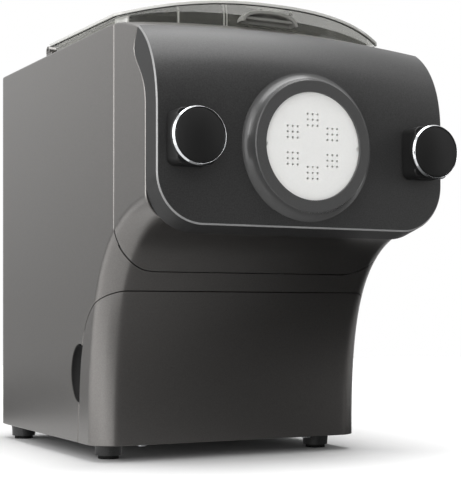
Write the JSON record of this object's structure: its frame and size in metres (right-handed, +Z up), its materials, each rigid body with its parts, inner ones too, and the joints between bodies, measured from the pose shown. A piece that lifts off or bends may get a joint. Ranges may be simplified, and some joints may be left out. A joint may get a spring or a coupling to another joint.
{
  "type": "electric pasta maker",
  "caption": "Countertop electric pasta maker with a smoky hinged lid, a removable front panel with extrusion disc and knobs, an overhanging head and a disc storage drawer.",
  "frame": {"origin": "on the table, under the centre of the bounding box", "axes": "+Z up, the front panel and drawer face -Y, +X is to the right as seen from the front"},
  "size_m": [0.215, 0.343, 0.315],
  "materials": {
    "housing": "satin warm grey with a fine metallic grain",
    "panel": "finely textured charcoal",
    "black": "matt black",
    "ring": "satin dark grey",
    "white": "satin white",
    "steel": "brushed",
    "chrome": "polished",
    "smoke": "clear smoky grey",
    "cast": "cast",
    "brass": "turned",
    "nylon": "natural nylon",
    "rubber": "soft black",
    "board": "green laminate with its parts",
    "window": "gloss black"
  },
  "bodies": {
    "root": {"body_shell": "housing", "head_housing": "housing", "base_plate": "black", "foot_collars": "black", "foot_pads": "rubber", "drawer_bay": "black", "drawer_runners": "steel", "chassis_frame": "cast", "mixing_chamber": "smoke", "extrusion_tube": "white", "shaping_disc": "white", "drive_bushes": "brass", "gearbox_housing": "cast", "gearbox_cover": "cast", "gear_pin": "steel", "motor_can": "steel", "motor_end_bell": "cast", "power_board": "board", "control_deck": "black", "display_window": "window", "display_board": "board", "rear_grille": "black", "cord_gland": "black", "lid_switch": "black", "hinge_brackets": "black", "base_screws": "steel", "gearbox_screws": "steel"},
    "lid": {"lid_cover": "smoke", "lid_grip": "black", "lid_hinge_pins": "steel"},
    "front_panel": {"front_panel": "panel", "outlet_ring": "ring", "panel_bushes": "brass"},
    "knob_left": {"knob_left_grip": "black", "knob_left_ring": "chrome", "knob_left_cap": "black", "knob_left_stud": "steel"},
    "knob_right": {"knob_right_grip": "black", "knob_right_ring": "chrome", "knob_right_cap": "black", "knob_right_stud": "steel"},
    "drawer": {"drawer_front": "housing", "drawer_tray": "black", "disc_fettuccine": "white", "disc_lasagne": "white", "disc_penne": "white", "disc_angel_hair": "white"},
    "rotor": {"mixing_paddle": "white", "extrusion_screw": "white", "drive_shaft": "steel", "output_gear": "nylon"},
    "idler": {"reduction_gear": "nylon"},
    "motor_rotor": {"motor_armature": "brass", "drive_pinion": "brass", "cooling_fan": "black"},
    "power_button": {"power_button": "black"},
    "start_button": {"start_button": "black"},
    "program_button": {"program_button": "black"}
  },
  "joints": [
    {"name": "lid_hinge", "type": "hinge", "parent": "root", "child": "lid", "pos_m": [0, 0.0636, 0.3038], "axis": [-1, 0, 0], "range_deg": [0, 75]},
    {"name": "panel_slide", "type": "slide", "parent": "root", "child": "front_panel", "axis": [0, -1, 0], "range_m": [0, 0.06]},
    {"name": "knob_left_turn", "type": "hinge", "parent": "front_panel", "child": "knob_left", "pos_m": [-0.0876, -0.1502, 0.2115], "axis": [0, -1, 0], "range_deg": [0, 90]},
    {"name": "knob_right_turn", "type": "hinge", "parent": "front_panel", "child": "knob_right", "pos_m": [0.0876, -0.1502, 0.2115], "axis": [0, -1, 0], "range_deg": [0, 90]},
    {"name": "drawer_slide", "type": "slide", "parent": "root", "child": "drawer", "axis": [0, -1, 0], "range_m": [0, 0.08]},
    {"name": "rotor_spin", "type": "hinge", "parent": "root", "child": "rotor", "pos_m": [0, 0.0498, 0.2115], "axis": [0, 1, 0], "continuous": true},
    {"name": "idler_spin", "type": "hinge", "parent": "root", "child": "idler", "pos_m": [0, 0.0798, 0.1635], "axis": [0, 1, 0], "continuous": true},
    {"name": "motor_spin", "type": "hinge", "parent": "root", "child": "motor_rotor", "pos_m": [0, 0.1198, 0.1155], "axis": [0, 1, 0], "continuous": true},
    {"name": "power_press", "type": "slide", "parent": "root", "child": "power_button", "axis": [0, 0, -1], "range_m": [0, 0.0012], "stiffness_N_per_m": 800, "springref_m": -0.0005},
    {"name": "start_press", "type": "slide", "parent": "root", "child": "start_button", "axis": [0, 0, -1], "range_m": [0, 0.0012], "stiffness_N_per_m": 800, "springref_m": -0.0005},
    {"name": "program_press", "type": "slide", "parent": "root", "child": "program_button", "axis": [0, 0, -1], "range_m": [0, 0.0012], "stiffness_N_per_m": 800, "springref_m": -0.0005}
  ],
  "couplings": [
    {"joint": "idler_spin", "follows": "rotor_spin", "ratio": -3},
    {"joint": "motor_spin", "follows": "rotor_spin", "ratio": 9}
  ]
}
